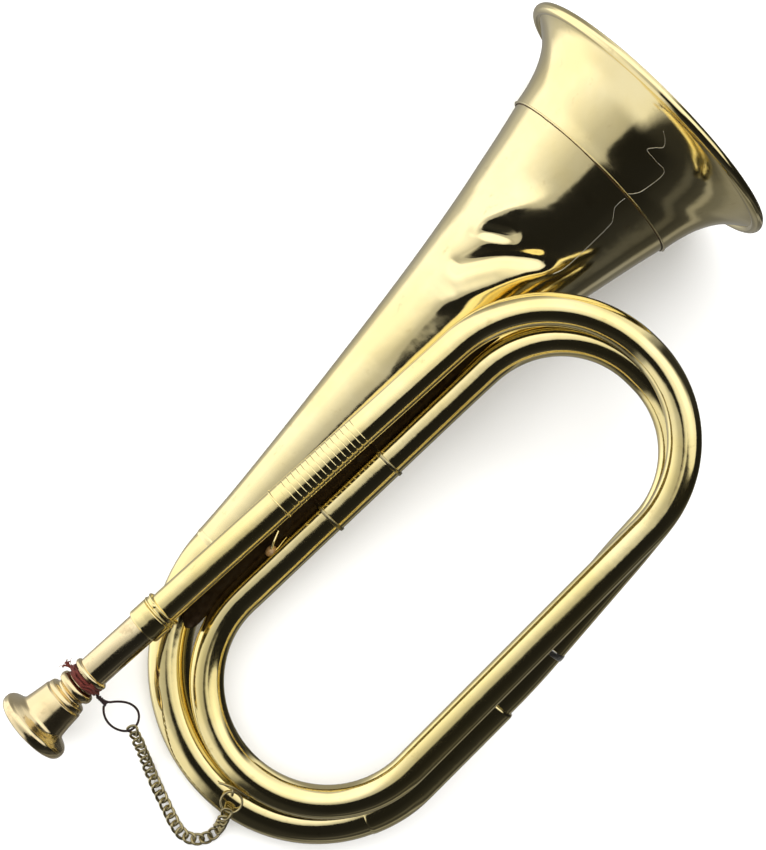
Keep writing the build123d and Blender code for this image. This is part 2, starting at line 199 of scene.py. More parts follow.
def fine_profile(corners, rounding=0.25, steps=4):
    """A turned outline with its corners rounded; a corner may carry its own rounding."""
    pts = [(Vector(c[:2]), c[2] if len(c) > 2 else rounding) for c in corners]
    out = [pts[0][0]]
    for i in range(1, len(pts) - 1):
        p, r = pts[i]
        a, b = pts[i - 1][0], pts[i + 1][0]
        cut = min(r, (p - a).length * 0.45, (p - b).length * 0.45)
        start, end = p + (a - p).normalized() * cut, p + (b - p).normalized() * cut
        for k in range(steps + 1):
            t = k / steps
            out.append(start * (1 - t) ** 2 + p * 2 * t * (1 - t) + end * t * t)
    out.append(pts[-1][0])
    return out


def lathe(name, profile, sides=96, base=None, closed=False, shape=None):
    """A turned piece about the X axis of a frame; shape(x, radius, angle) may bend it out of round."""
    base = base or Matrix.Identity(4)
    rows = []
    along = [0.0]
    for i in range(1, len(profile)):
        along.append(along[-1] + (Vector(profile[i]) - Vector(profile[i - 1])).length)
    for x, r in profile:
        ring = []
        for k in range(sides):
            a = 2 * math.pi * k / sides
            xx, rr = shape(x, r, a) if shape else (x, r)
            ring.append(base @ Vector((xx, rr * math.cos(a), rr * math.sin(a))))
        rows.append(ring)
    return recalc(make_mesh(name, rows, True, closed, LAY, along))


# ================================================================ the windway
MOUTH_END = Vector((-286.8, 1.3, 18.2))
TAIL_END = Vector((-204.0, 0.0, 0.0))
CORNERS = [
    ((-58.5, -10.5, 32.2), 44.2),
    ((-58.5, -94.4, 31.4), 41.3),
    ((-249.0, -97.0, 10.9), 39.6),
    ((-249.3, -16.3, 8.6), 39.6),
    ((-63.2, -21.1, 23.1), 36.8),
    ((-62.8, -93.0, 16.6), 36.8),
    ((-161.5, -101.5, 6.7), 260.0),
    ((-260.1, -102.8, -2.7), 46.2),
    ((-259.7, 0.0, 0.0), 55.6),
]


def windway_parts():
    """The centreline as straight runs and round bends: (start, end, centre or None, angle, length)."""
    stops = [MOUTH_END] + [Vector(c) for c, _ in CORNERS] + [TAIL_END]
    parts = []
    here = MOUTH_END
    for i, (corner, radius) in enumerate(CORNERS):
        corner = Vector(corner)
        before = (corner - stops[i]).normalized()
        after = (stops[i + 2] - corner).normalized()
        angle = math.acos(max(-1, min(1, before.dot(after))))
        cut = radius * math.tan(angle / 2)
        start, end = corner - before * cut, corner + after * cut
        centre = corner + (after - before).normalized() * (radius / math.cos(angle / 2))
        parts.append((here, start, None, 0, (start - here).length))
        parts.append((start, end, centre, angle, angle * radius))
        here = end
    parts.append((here, TAIL_END, None, 0, (TAIL_END - here).length))
    return parts


PARTS = windway_parts()
LENGTH = sum(p[4] for p in PARTS)


def windway_at(s):
    """Point on the centreline at a distance from the mouthpiece's rim."""
    s = max(0.0, min(LENGTH, s))
    for start, end, centre, angle, length in PARTS:
        if s <= length or end is PARTS[-1][1]:
            t = s / length if length else 0
            if centre is None:
                return start + (end - start) * t
            a, b = start - centre, end - centre
            return centre + (a * math.sin((1 - t) * angle) + b * math.sin(t * angle)) / math.sin(angle)
        s -= length
    return TAIL_END


def blend_table(table, s):
    """A value read smoothly from a table of (distance, value)."""
    if s <= table[0][0]:
        return table[0][1]
    for (a, va), (b, vb) in zip(table, table[1:]):
        if s <= b:
            t = (s - a) / (b - a)
            return va + (vb - va) * t * t * (3 - 2 * t)
    return table[-1][1]


TUBE_R = [(40, 5.45), (180, 5.47), (200, 5.6), (321, 5.62), (340, 5.72), (428, 5.76), (540, 5.82),
          (562, 6.13), (650, 6.16), (676, 6.38), (776, 6.42), (796, 6.8), (890, 6.85), (892, 7.36),
          (1030, 7.40), (1062, 8.75)]


TUBE_SIDES = 72
RIPPLE = 0.03


def windway_tangent(s):
    """The centreline's direction at a distance from the mouthpiece's rim."""
    return (windway_at(s + 0.4) - windway_at(s - 0.4)).normalized()


def windway_circle(s, radius):
    """Points round the windway, the first of them on the side toward the eye."""
    tangent = windway_tangent(s)
    side = Vector((0, 0, 1))
    side = (side - tangent * side.dot(tangent)).normalized()
    return circle_points(windway_at(s), side, tangent.cross(side), radius, TUBE_SIDES)


def tube(name, start, end, seed):
    """A stretch of brass tube, very slightly uneven as hand-bent tube is."""
    count = max(2, int(round(end - start)) + 1)
    rows, along = [], []
    side = Vector((0, 0, 1))
    for i in range(count):
        s = start + (end - start) * i / (count - 1)
        p = windway_at(s)
        tangent = windway_tangent(s)
        side = (side - tangent * side.dot(tangent)).normalized()
        up = tangent.cross(side)
        radius = blend_table(TUBE_R, s)
        ring = []
        for k in range(TUBE_SIDES):
            a = 2 * math.pi * k / TUBE_SIDES
            out = side * math.cos(a) + up * math.sin(a)
            uneven = RIPPLE * noise.noise((p + out * radius) * 0.045 + Vector((seed, 0, 0)))
            ring.append(p + out * (radius + uneven))
        rows.append(ring)
        along.append(s)
    return recalc(make_mesh(name, rows, True, False, LAY, along))


def ring_on(name, start, end, height):
    """A raised ring or sleeve on the windway with softened edges, seated on the tube."""
    edge = 0.25
    steps = [(0.0, -0.05), (0.0, height - edge), (edge * 0.3, height - edge * 0.3), (edge, height),
             (-edge, height), (-edge * 0.3, height - edge * 0.3), (0.0, height - edge), (0.0, -0.05)]
    spots = [(start + a if i < 4 else end + a, h) for i, (a, h) in enumerate(steps)]
    body = [spots[3]]
    gap = (end - edge) - (start + edge)
    spaces = int(gap / 1.5) + 1
    for k in range(1, spaces):
        body.append((start + edge + gap * k / spaces, height))
    spots = spots[:3] + body + spots[4:]
    rows = [windway_circle(s, blend_table(TUBE_R, s) + h) for s, h in spots]
    return recalc(make_mesh(name, rows, True, False, LAY, [s for s, _ in spots]))


# ================================================================ materials
class Nodes:
    """Short hand for building a node tree."""

    def __init__(self, name):
        self.material = bpy.data.materials.new(name)
        self.material.use_nodes = True
        self.tree = self.material.node_tree
        self.tree.nodes.clear()
        self.out = self.add("ShaderNodeOutputMaterial")
        self.bsdf = self.add("ShaderNodeBsdfPrincipled")
        self.link(self.bsdf, "BSDF", self.out, "Surface")
        self.coords = self.add("ShaderNodeTexCoord")

    def add(self, kind, **settings):
        node = self.tree.nodes.new(kind)
        for key, value in settings.items():
            setattr(node, key, value)
        return node

    def link(self, a, out, b, socket):
        self.tree.links.new(a.outputs[out], b.inputs[socket])

    def noise(self, scale, detail, rough, stretch=None):
        node = self.add("ShaderNodeTexNoise")
        node.inputs["Scale"].default_value = scale
        node.inputs["Detail"].default_value = detail
        node.inputs["Roughness"].default_value = rough
        if stretch:
            mapping = self.add("ShaderNodeMapping")
            mapping.inputs["Scale"].default_value = stretch
            self.link(self.coords, "Object", mapping, "Vector")
            self.link(mapping, "Vector", node, "Vector")
        else:
            self.link(self.coords, "Object", node, "Vector")
        return node

    def ramp(self, source, socket, stops):
        node = self.add("ShaderNodeValToRGB")
        while len(node.color_ramp.elements) < len(stops):
            node.color_ramp.elements.new(0.5)
        for element, (at, colour) in zip(node.color_ramp.elements, stops):
            element.position = at
            element.color = (*colour, 1)
        self.link(source, socket, node, "Fac")
        return node

    def span(self, source, socket, low, high, to_low, to_high):
        node = self.add("ShaderNodeMapRange")
        node.inputs["From Min"].default_value = low
        node.inputs["From Max"].default_value = high
        node.inputs["To Min"].default_value = to_low
        node.inputs["To Max"].default_value = to_high
        self.link(source, socket, node, "Value")
        return node

    def mix(self, a, a_out, b, b_out, factor, factor_out):
        node = self.add("ShaderNodeMix", data_type="RGBA", blend_type="MIX")
        for source, out, index in ((a, a_out, 6), (b, b_out, 7)):
            if isinstance(source, tuple):
                node.inputs[index].default_value = (*source, 1)
            else:
                self.tree.links.new(source.outputs[out], node.inputs[index])
        if isinstance(factor, float):
            node.inputs[0].default_value = factor
        else:
            self.tree.links.new(factor.outputs[factor_out], node.inputs[0])
        return node

    def bump(self, source, socket, strength, distance, after=None):
        node = self.add("ShaderNodeBump")
        node.inputs["Strength"].default_value = strength
        node.inputs["Distance"].default_value = distance
        self.link(source, socket, node, "Height")
        if after:
            self.link(after, "Normal", node, "Normal")
        return node


def brass(name, bright, dull, tarnish, low=0.07, high=0.22, scratch=0.25, dent=0.35, spots=0.62):
    """Old polished brass: uneven polish, faint tarnish, hairline scratches and soft dents."""
    n = Nodes(name)
    n.bsdf.inputs["Metallic"].default_value = 1.0
    broad = n.noise(28, 4, 0.6)
    fine = n.noise(160, 6, 0.65)
    hair = n.noise(1.0, 5, 0.7, (180, 2600, 1800))
    hair2 = n.noise(1.0, 5, 0.7, (2400, 160, 1900))
    colour = n.ramp(broad, "Fac", [(0.35, bright), (0.62, dull)])
    stain = n.ramp(fine, "Fac", [(spots, (0, 0, 0)), (min(1, spots + 0.16), (1, 1, 1))])
    fade = n.mix((0, 0, 0), None, stain, "Color", 0.35, None)
    base = n.mix(colour, "Color", tarnish, None, fade, 2)
    n.tree.links.new(base.outputs[2], n.bsdf.inputs["Base Color"])
    rough = n.span(broad, "Fac", 0.3, 0.7, low, high)
    rough2 = n.add("ShaderNodeMath", operation="MULTIPLY_ADD")
    n.link(hair, "Fac", rough2, 0)
    rough2.inputs[1].default_value = 0.08
    n.link(rough, "Result", rough2, 2)
    n.link(rough2, "Value", n.bsdf, "Roughness")
    wave = n.bump(broad, "Fac", dent, 0.0006)
    lines = n.bump(hair, "Fac", scratch, 0.00002, wave)
    lines2 = n.bump(hair2, "Fac", scratch, 0.00002, lines)
    n.link(lines2, "Normal", n.bsdf, "Normal")
    return n


BELL = brass("bell_brass", (0.93, 0.82, 0.49), (0.89, 0.76, 0.40), (0.42, 0.27, 0.10), 0.025, 0.07)
TUBE = brass("tube_brass", (0.93, 0.81, 0.45), (0.88, 0.74, 0.34), (0.40, 0.26, 0.10), 0.03, 0.09)
CUP = brass("mouthpiece_brass", (0.90, 0.78, 0.50), (0.82, 0.67, 0.39), (0.30, 0.18, 0.09), 0.06, 0.16,
            0.5, 0.3, 0.56)
CHAIN = brass("chain_brass", (0.60, 0.53, 0.31), (0.40, 0.34, 0.18), (0.09, 0.07, 0.045), 0.15, 0.34,
              0.5, 0.3, 0.46)
SILVER = brass("silver_ring", (0.86, 0.85, 0.80), (0.76, 0.74, 0.68), (0.35, 0.30, 0.22), 0.10, 0.22)


def solder_material(name="solder", shade=1.0):
    """Dull brown solder with a lumpy surface; a low shade gives the dark line of an old joint, the lowest the
    near-black of painted shade between tubes.
    """
    n = Nodes(name)
    n.bsdf.inputs["Metallic"].default_value = 0.7
    lumps = n.noise(420, 5, 0.6)
    colour = n.ramp(lumps, "Fac", [
        (0.3, (0.22 * shade, 0.10 * shade, 0.03 * shade)), (0.55, (0.38 * shade, 0.21 * shade, 0.07 * shade)),
        (0.78, (0.52 * shade, 0.40 * shade, 0.24 * shade))])
    n.link(colour, "Color", n.bsdf, "Base Color")
    rough = n.span(lumps, "Fac", 0.3, 0.7, 0.32, 0.6)
    n.link(rough, "Result", n.bsdf, "Roughness")
    bump = n.bump(lumps, "Fac", 0.6, 0.0004)
    n.link(bump, "Normal", n.bsdf, "Normal")
    return n


def twine_material(name, light, dark, twist):
    """Laid thread: strands wound round it, with loose fibres of lighter colour and painted shade in the
    grooves between strands.
    """
    n = Nodes(name)
    n.bsdf.inputs["Roughness"].default_value = 0.6
    n.bsdf.inputs["Specular IOR Level"].default_value = 0.3
    n.bsdf.inputs["Sheen Weight"].default_value = 0.04
    mapping = n.add("ShaderNodeMapping")
    mapping.inputs["Scale"].default_value = (2.0, twist, 1.0)
    n.link(n.coords, "UV", mapping, "Vector")
    split = n.add("ShaderNodeSeparateXYZ")
    n.link(mapping, "Vector", split, "Vector")
    both = n.add("ShaderNodeMath", operation="ADD")
    n.link(split, "X", both, 0)
    n.link(split, "Y", both, 1)
    wave = n.add("ShaderNodeMath", operation="MULTIPLY")
    wave.inputs[1].default_value = 6.28318      # one whole turn
    n.link(both, "Value", wave, 0)
    sine = n.add("ShaderNodeMath", operation="SINE")
    n.link(wave, "Value", sine, 0)
    fibre = n.noise(2600, 4, 0.7)
    colour = n.ramp(fibre, "Fac", [(0.3, dark), (0.72, light)])
    # Painted shade: the colour darkens to about a third in the grooves between the strands.
    shade = n.span(sine, "Value", -1, 1, 0.35, 1.0)
    dim = n.add("ShaderNodeMix", data_type="RGBA", blend_type="MULTIPLY")
    dim.inputs[0].default_value = 1.0
    n.tree.links.new(colour.outputs["Color"], dim.inputs[6])
    n.tree.links.new(shade.outputs["Result"], dim.inputs[7])
    n.tree.links.new(dim.outputs[2], n.bsdf.inputs["Base Color"])
    first = n.bump(sine, "Value", 0.6, 0.00012)
    second = n.bump(fibre, "Fac", 0.5, 0.00008, first)
    n.link(second, "Normal", n.bsdf, "Normal")
    return n


SOLDER = solder_material()
SEAM = solder_material("seam_shadow", 0.22)
# Near-black: painted shade on the sheet in the valley between the tubes, and the dark colour of the lower
# solder joint.
DARK_SOLDER_AND_SHADE = solder_material("dark_solder_and_painted_shade", 0.07)
RED = twine_material("red_twine", (0.26, 0.045, 0.030), (0.05, 0.010, 0.008), 1.6)
DARK = twine_material("dark_twine", (0.045, 0.022, 0.022), (0.010, 0.006, 0.007), 1.6)


def add_ruled_lines(n, first, last, count, strength):
    """Fine lines scribed round a tube between two distances along it."""
    split = n.add("ShaderNodeSeparateXYZ")
    n.link(n.coords, "UV", split, "Vector")
    phase = n.span(split, "Y", first, last, 0, count)
    turn_node = n.add("ShaderNodeMath", operation="FRACT")
    n.link(phase, "Result", turn_node, 0)
    line = n.ramp(turn_node, "Value", [
        (0.0, (0, 0, 0)), (0.12, (1, 1, 1)), (0.9, (1, 1, 1)), (1.0, (0, 0, 0))])
    bump = n.bump(line, "Color", strength, 0.00012)
    old = n.bsdf.inputs["Normal"].links[0].from_socket
    n.tree.links.new(old, bump.inputs["Normal"])
    n.link(bump, "Normal", n.bsdf, "Normal")


LEADPIPE = brass("leadpipe_brass", (0.93, 0.81, 0.45), (0.88, 0.74, 0.34), (0.40, 0.26, 0.10), 0.03, 0.09)
add_ruled_lines(LEADPIPE, 113.0, 145.0, 15, 0.9)

# ================================================================ the bell
BODY_OUTLINE = [(-204, 8.95), (-196, 9.45), (-182, 10.65), (-164, 12.6), (-146, 14.75), (-130, 16.75),
                (-112, 19.1), (-94, 21.6), (-78, 24.1), (-62, 27.0), (-50, 29.5), (-40, 31.6), (-33, 33.2),
                (-27.2, 34.55)]
FLARE_OUTLINE = [(-27.6, 34.6), (-27.55, 35.0), (-27.0, 35.15), (-22, 36.1), (-17, 37.5), (-13, 39.1),
                 (-9.5, 41.0), (-6.4, 43.3), (-3.9, 45.9), (-2.2, 48.2), (-1.2, 50.0)]
# Creases in the bell's upper side: points along and across the bell with the height there (a hollow is
# negative), how wide each spreads on its near and far sides, and whether it is a sharp crest.
CREASES = [
    ([(-80.4, 9.4, -1.5), (-74.6, 5.8, -1.6), (-69.7, 2.2, -1.6), (-64.8, -3.0, -1.6), (-61.0, -7.6, -1.3),
      (-59.5, -9.6, -0.4)], 2.1, 1.9, False),
    ([(-69.4, 13.6, -1.0), (-65.6, 8.4, -1.2), (-63.2, 4.0, -1.0), (-61.6, 0.8, -0.1)], 1.6, 1.6, False),
    ([(-93.0, 3.9, 0.2), (-84.4, 0.0, 0.55), (-76.9, -3.9, 0.6), (-69.7, -7.6, 0.6), (-63.0, -12.0, 0.3)],
     1.9, 1.9, False),
    ([(-122.0, 4.5, 0.0), (-113.0, 5.0, 0.36), (-101.0, 5.3, 0.46), (-93.0, 5.4, 0.42), (-88.0, 4.6, 0.1)],
     2.0, 3.0, False),
    ([(-68.0, 13.4, 2.4), (-64.0, 13.8, 2.9), (-57.5, 11.3, 2.2), (-52.0, 8.0, 1.1), (-46.0, 5.0, 0.3),
      (-38.0, 2.5, 0.0)], 12.5, 11.0, True),
]
CREASE_REACH = 13.0           # how far along the bell a crease still lifts the wall
WALL = 0.5
BEAD_R = 2.1


def dense(points, per_mm):
    """A smooth outline with a number of points for every millimetre of it."""
    total = sum((Vector(b) - Vector(a)).length for a, b in zip(points, points[1:]))
    return [(p.x, p.y) for p in smooth_points([(x, r, 0) for x, r in points], int(total * per_mm))]


SMOOTH_CREASES = [(smooth_points(line, 40 if crest else 12), near_side, far_side, crest)
                  for line, near_side, far_side, crest in CREASES]


def crease_height(x, y):
    """How far the creases lift the bell's upper side at a spot."""
    spot = Vector((x, y))
    lift = 0.0
    for line, near_side, far_side, crest in SMOOTH_CREASES:
        if not line[0].x - CREASE_REACH < x < line[-1].x + CREASE_REACH:
            continue
        nearest, wide, height = 1e9, near_side, 0.0
        for a, b in zip(line, line[1:]):
            way = b.xy - a.xy
            t = max(0.0, min(1.0, (spot - a.xy).dot(way) / way.length_squared))
            gap = spot - a.xy - way * t
            if gap.length < nearest:
                nearest = gap.length
                lean = way.normalized().cross(gap) / max(nearest, 1e-6)
                wide = near_side + (far_side - near_side) * (0.5 + 0.5 * lean)
                height = a.z + (b.z - a.z) * t
        if crest:
            lift += height * (1 - min(1.0, (math.sqrt(nearest ** 2 + 0.35) - 0.59) / wide)) ** 2
        else:
            lift += height * math.exp(-0.5 * (nearest / wide) ** 2)
    return lift


def bell_shape(x, r, a):
    """The bell's radius with the creases and slight unevenness of use; a runs from +Y toward +Z."""
    p = Vector((x, r * math.cos(a), r * math.sin(a)))
    d = 0.08 * noise.noise(p * 0.035) + 0.012 * noise.noise(p * 0.11)
    if p.z > 0 and -134 < x < -30:
        lift = crease_height(x, p.y)
        for _ in range(3):
            if abs(lift) > 0.15:
                lift = crease_height(x, (r + lift) * math.cos(a))
        d += lift
    return x, r + d


def shell_profile(outside):
    """An outline with its inside, as one loop."""
    pts = [Vector((x, r, 0)) for x, r in outside]
    inside = []
    for i, p in enumerate(pts):
        a, b = pts[max(0, i - 1)], pts[min(len(pts) - 1, i + 1)]
        t = (b - a).normalized()
        q = p + Vector((t.y, -t.x, 0)) * WALL
        inside.append((q.x, q.y))
    return list(outside) + inside[::-1]


body_line = dense(BODY_OUTLINE, 1.5)
bell_body = lathe("bell_body_skin", shell_profile(body_line), 224, closed=True, shape=bell_shape)
finish_piece(bell_body, "root", BELL.material, "bell_brass", "bell_body")
flare_line = dense(FLARE_OUTLINE, 1.6)
bell_flare = lathe("bell_flare_skin", shell_profile(flare_line), 160, closed=True)
finish_piece(bell_flare, "root", BELL.material, "bell_brass", "bell_flare")
bead = []
for k in range(28):
    a = 2 * math.pi * k / 28
    x, r = 0.1 + BEAD_R * math.cos(a), 51.1 + BEAD_R * math.sin(a)
    bead.append((min(x, 1.78), r))


def worn_bead(x, r, a):
    """The bead a little out of round."""
    return x, r + 0.10 * noise.noise(Vector((BEAD_R * math.cos(a), BEAD_R * math.sin(a), 3)))


bell_rim = lathe("bell_rim_bead", bead, 200, closed=True, shape=worn_bead)
finish_piece(bell_rim, "root", BELL.material, "bell_brass", "bell_rim")


def outline_radius(x):
    """The bell's outside radius at a distance along it."""
    for (x0, r0), (x1, r1) in zip(body_line + flare_line, body_line[1:] + flare_line[1:]):
        if x0 <= x <= x1:
            return r0 + (r1 - r0) * (x - x0) / max(x1 - x0, 1e-6)
    return flare_line[-1][1]


seam_line = []
for k in range(180):
    a = 2 * math.pi * k / 180
    wobble = 0.16 * noise.noise(Vector((3 * math.cos(a), 3 * math.sin(a), 1.7)))
    wobble += 0.10 * noise.noise(Vector((14 * math.cos(a), 14 * math.sin(a), 4.1)))
    seam_line.append(Vector((-27.75 + wobble, 34.58 * math.cos(a), 34.58 * math.sin(a))))
finish_piece(sweep("bell_seam_line", seam_line, 0.17, 8, closed=True), "root", SEAM.material, "bell_brass")
scratch_line = []
for spot in smooth_points([(-61.5, -14.4, 0), (-57.0, -15.8, 0), (-48.0, -16.2, 0), (-37.5, -16.2, 0),
                           (-35.4, -15.3, 0), (-32.6, -13.3, 0), (-28.4, -13.5, 0)], 60):
    wobble = 0.12 * noise.noise(Vector((spot.x * 0.9, 0, 0)))
    y = spot.y + wobble
    scratch_line.append(Vector((spot.x, y, math.sqrt(outline_radius(spot.x) ** 2 - y * y) + 0.02)))
finish_piece(sweep("bell_scratch_body", scratch_line, 0.085, 6), "root", SILVER.material, "bell_brass")
scratch_line = []
for spot in smooth_points([(-27.0, -13.2, 0), (-25.4, -14.6, 0), (-22.4, -15.9, 0), (-14.4, -16.6, 0),
                           (-13.9, -12.0, 0), (-13.6, -7.6, 0), (-11.5, -8.8, 0), (-9.6, -10.6, 0),
                           (-7.8, -9.4, 0), (-6.4, -7.0, 0)], 80):
    scratch_line.append(Vector((spot.x, spot.y, math.sqrt(outline_radius(spot.x) ** 2 - spot.y ** 2) + 0.02)))
finish_piece(sweep("bell_scratch_flare", scratch_line, 0.085, 6), "root", SILVER.material, "bell_brass")
tail_ring = lathe("bell_tail_collar", fine_profile([
    (-207.0, 7.6), (-205.6, 8.7), (-204.6, 8.98), (-203.6, 9.03), (-203.2, 8.98, 0.2), (-203.0, 8.6)]), 96)
finish_piece(tail_ring, "root", BELL.material, "bell_brass", "bell_tail_ring")

# ================================================================ the coil
RECEIVER_END, LEAD_END = 51.5, 186.9
FIRST_RUN_START, FIRST_RUN_END = 321.3, 428.8
MIDDLE_START, FERRULE_LEFT, FERRULE_RIGHT, MIDDLE_END = 557.7, 595.5, 623.3, 665.1
OUTER_START, OUTER_RING, OUTER_SLEEVE_START, OUTER_SLEEVE_END = 782.2, 832.8, 858.9, 917.9
for name, start, end, node, seed in (
    ("leadpipe_tube", RECEIVER_END, LEAD_END, "leadpipe", 1.0),
    ("first_right_bow_tube", LEAD_END, FIRST_RUN_START, "first_right_bow", 2.0),
    ("first_lower_run_tube", FIRST_RUN_START, FIRST_RUN_END, "first_lower_run", 3.0),
    ("first_left_bow_tube", FIRST_RUN_END, MIDDLE_START, "first_left_bow", 4.0),
    ("middle_run_left_tube", MIDDLE_START, 609.4, "middle_run_left", 5.0),
    ("middle_run_right_tube", 609.4, MIDDLE_END, "middle_run_right", 6.0),
    ("second_right_bow_tube", MIDDLE_END, OUTER_START, "second_right_bow", 7.0),
    ("outer_run_tube", OUTER_START, 890.0, "outer_run", 8.0),
    ("bell_bow_tube", 890.0, LENGTH, "bell_bow", 9.0),
):
    material = LEADPIPE if node == "leadpipe" else TUBE
    finish_piece(tube(name, start, end, seed), "root", material.material, "tube_brass", node)
for name, start, end, height, node, material, slot in (
    ("leadpipe_ring_bead", 109.2, 110.0, 0.28, "leadpipe_ring", TUBE, "tube_brass"),
    ("middle_sleeve_tube", FERRULE_LEFT, FERRULE_RIGHT, 0.28, "middle_sleeve", TUBE, "tube_brass"),
    ("outer_run_ring_bead", OUTER_RING, OUTER_RING + 2.2, 0.36, "outer_run_ring", SILVER, "silver_ring"),
):
    finish_piece(ring_on(name, start, end, height), "root", material.material, slot, node)
ring_a = ring_on("middle_sleeve_ring_left", FERRULE_LEFT, FERRULE_LEFT + 1.3, 0.68)
ring_b = ring_on("middle_sleeve_ring_right", FERRULE_RIGHT - 1.3, FERRULE_RIGHT, 0.68)
finish_piece(ring_a, "root", CHAIN.material, "chain_brass", "middle_sleeve_rings")
finish_piece(ring_b, "root", CHAIN.material, "chain_brass")


def outer_sleeve_piece():
    """The long sleeve on the lower run: an even outside over two sizes of tube."""
    spots = [(OUTER_SLEEVE_START, 6.7), (OUTER_SLEEVE_START, 7.55)]
    for i in range(1, 63):
        s = OUTER_SLEEVE_START + (OUTER_SLEEVE_END - OUTER_SLEEVE_START) * i / 63
        spots.append((s, 7.80 - 0.26 * max(0.0, (s - OUTER_SLEEVE_END + 12) / 12)))
    spots += [(OUTER_SLEEVE_END, 7.50), (OUTER_SLEEVE_END + 0.2, 7.3)]
    rows = [windway_circle(s, r) for s, r in spots]
    return recalc(make_mesh("outer_sleeve_tube", rows, True, False, LAY, [s for s, _ in spots]))


finish_piece(outer_sleeve_piece(), "root", TUBE.material, "tube_brass", "outer_sleeve")

# ================================================================ mouthpiece and socket
lead = (Vector(CORNERS[0][0]) - MOUTH_END).normalized()


def valley_shade_sheet():
    """Near-black sheet in the valley between the leadpipe and the middle run: painted shade over the gap."""
    rows = []
    for i in range(90):
        run = windway_at(535.0 + 143.0 * i / 89)
        pipe = MOUTH_END + lead * ((run.x - MOUTH_END.x) / lead.x)
        start = pipe + Vector((0, -math.cos(0.9), -math.sin(0.9))) * 5.3
        end = run + Vector((0, math.cos(0.3), math.sin(0.3))) * 5.6
        uneven = 0.25 * noise.noise(run * 0.12)
        middle = start.lerp(end, 0.5)
        spread = min(1.0, i / 7, (89 - i) / 14) ** 0.5
        top = []
        for k in range(7):
            sag = Vector((0, 0, -0.5 * math.sin(math.pi * k / 6) + uneven))
            top.append(middle.lerp(start.lerp(end, k / 6), spread) + sag)
        rows.append(top + [p + Vector((0, 0, -0.7)) for p in reversed(top)])
    piece = make_mesh("valley_painted_shade_sheet", rows)
    cap_ends(piece, 14, 90)
    return piece


# Painted shade: a near-black sheet darkens the gap between the two tubes.
finish_piece(valley_shade_sheet(), "root", DARK_SOLDER_AND_SHADE.material, "solder")
lead_z = lead.cross(Vector((0, 1, 0))).normalized()
lead_y = lead_z.cross(lead).normalized()
LEAD = Matrix.Translation(MOUTH_END) @ Matrix((
    (lead.x, lead_y.x, lead_z.x, 0),
    (lead.y, lead_y.y, lead_z.y, 0),
    (lead.z, lead_y.z, lead_z.z, 0),
    (0, 0, 0, 1),
))
cup = fine_profile([
    (49.0, 3.6), (49.0, 4.7, 0.2), (20.9, 4.72, 0.3), (20.7, 5.5, 0.3), (20.4, 6.35, 0.6),
    (19.2, 6.75, 0.9), (18.0, 6.35, 0.6), (17.6, 5.5, 0.4), (16.9, 5.2, 0.4), (16.2, 5.35, 0.4),
    (15.8, 6.0, 0.3), (15.6, 7.0, 0.25), (14.3, 7.4, 0.25), (13.9, 7.05, 0.12), (13.4, 7.7, 0.2),
    (9.0, 8.15, 1.0), (4.9, 8.7, 0.6), (4.1, 9.1, 0.35), (3.2, 10.0, 0.6), (2.5, 11.6, 0.6),
    (2.0, 12.7, 0.5), (1.1, 13.3, 0.5), (-0.5, 13.42, 0.8), (-1.7, 12.9, 0.6), (-2.35, 11.6, 0.6),
    (-2.5, 10.2, 0.5), (-2.2, 9.0, 0.5), (-1.4, 8.45, 0.5), (1.0, 7.9, 0.8), (5.0, 6.6, 1.2),
    (8.6, 4.2, 1.2), (10.4, 2.05, 0.5), (13.5, 2.0, 0.5), (30.0, 2.8, 1.0), (49.0, 3.6),
], steps=5)
mouthpiece = lathe("mouthpiece_turned", cup, 128, LEAD)
finish_piece(mouthpiece, "mouthpiece", CUP.material, "mouthpiece_brass", "mouthpiece")
receiver = lathe("receiver_socket", fine_profile([
    (24.9, 4.78), (24.9, 5.55), (51.4, 5.62), (51.4, 4.9)], 0.1), 96, LEAD)
finish_piece(receiver, "root", CUP.material, "mouthpiece_brass", "receiver_tube")
lip = lathe("receiver_rolled_lip", fine_profile([
    (24.95, 5.0), (24.85, 5.8, 0.3), (25.0, 6.4, 0.5), (25.7, 6.62, 0.5), (26.4, 6.4, 0.5), (26.7, 5.9, 0.3),
    (26.75, 5.5)]), 96, LEAD)
finish_piece(lip, "root", CUP.material, "mouthpiece_brass", "receiver_lip")
collar = lathe("receiver_collar_sleeve", fine_profile([
    (48.6, 5.5), (48.7, 6.1, 0.3), (49.2, 6.5, 0.3), (50.0, 6.55, 0.3), (52.6, 6.5, 0.4), (55.4, 6.55, 0.3),
    (55.7, 6.2, 0.2), (55.75, 5.5)]), 96, LEAD)
finish_piece(collar, "root", TUBE.material, "mouthpiece_brass", "receiver_collar")
band_piece = lathe("receiver_band_ring", fine_profile([
    (55.75, 5.4), (55.8, 6.55, 0.15), (56.05, 6.75, 0.15), (56.4, 6.7, 0.15), (56.55, 6.35, 0.12),
    (57.6, 6.33, 0.12), (57.75, 6.7, 0.15), (58.1, 6.75, 0.15), (58.4, 6.5, 0.15), (58.45, 5.4)]), 96, LEAD)
finish_piece(band_piece, "root", TUBE.material, "mouthpiece_brass", "receiver_band")


def rivet_head(name, centre, outward, radius, height):
    """A small domed rivet head at a point, its dome toward the way given."""
    outward = outward.normalized()
    side = outward.orthogonal().normalized()
    up = outward.cross(side)
    rows = []
    for i in range(9):
        t = i / 8 * math.pi / 2
        middle = centre + outward * (height * math.sin(t))
        rows.append(circle_points(middle, side, up, radius * math.cos(t) + 0.002, 24))
    return recalc(make_mesh(name, rows))


rivet_at = LEAD @ Vector((57.05, 2.7, 0)) + Vector((0, 0, 5.55))
rivet = rivet_head("band_rivet_head", rivet_at, Vector((0, 0.45, 0.9)), 0.95, 0.8)
finish_piece(rivet, "root", TUBE.material, "mouthpiece_brass", "band_rivet")

